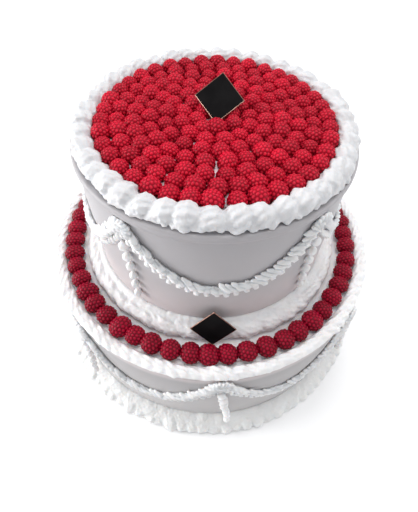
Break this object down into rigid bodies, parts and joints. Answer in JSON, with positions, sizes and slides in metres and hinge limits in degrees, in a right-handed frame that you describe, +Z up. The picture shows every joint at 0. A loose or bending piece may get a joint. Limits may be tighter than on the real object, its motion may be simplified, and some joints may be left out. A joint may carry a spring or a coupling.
{
  "type": "two-tier raspberry cream cake",
  "caption": "Two round cream-covered tiers with piped shell borders, hanging swags and bead drops, raspberries over the top and round the lower tier, and small square tags.",
  "frame": {"origin": "middle of the cake's bottom face", "axes": "+Z up, the seen front faces -Y"},
  "size_m": [0.4229, 0.4224, 0.3313],
  "materials": {
    "smooth_cream": "smooth whipped cream, satin",
    "piped_cream": "piped whipped cream, satin",
    "top_berries": "fresh raspberries, soft gloss",
    "ring_berries": "fresh raspberries, darker, soft gloss",
    "tag": "black card with a thin metallic edge"
  },
  "bodies": {
    "root": {"lower_tier": "smooth_cream", "upper_tier": "smooth_cream", "top_border": "piped_cream", "inner_border": "piped_cream", "lower_border": "piped_cream", "base_border": "piped_cream", "top_raspberries": "top_berries", "ring_raspberries": "ring_berries", "upper_swag_1": "piped_cream", "upper_swag_2": "piped_cream", "upper_swag_3": "piped_cream", "upper_swag_4": "piped_cream", "upper_swag_5": "piped_cream", "upper_drop_1": "piped_cream", "upper_drop_2": "piped_cream", "upper_drop_3": "piped_cream", "upper_drop_4": "piped_cream", "upper_drop_5": "piped_cream", "lower_swag_1": "piped_cream", "lower_swag_2": "piped_cream", "lower_swag_3": "piped_cream", "lower_swag_4": "piped_cream", "lower_swag_5": "piped_cream", "lower_swag_6": "piped_cream", "lower_swag_7": "piped_cream", "lower_drop_1": "piped_cream", "lower_drop_2": "piped_cream", "lower_drop_3": "piped_cream", "lower_drop_4": "piped_cream", "lower_drop_5": "piped_cream", "lower_drop_6": "piped_cream", "lower_drop_7": "piped_cream", "tag_top": "tag", "tag_front": "tag"}
  },
  "joints": []
}
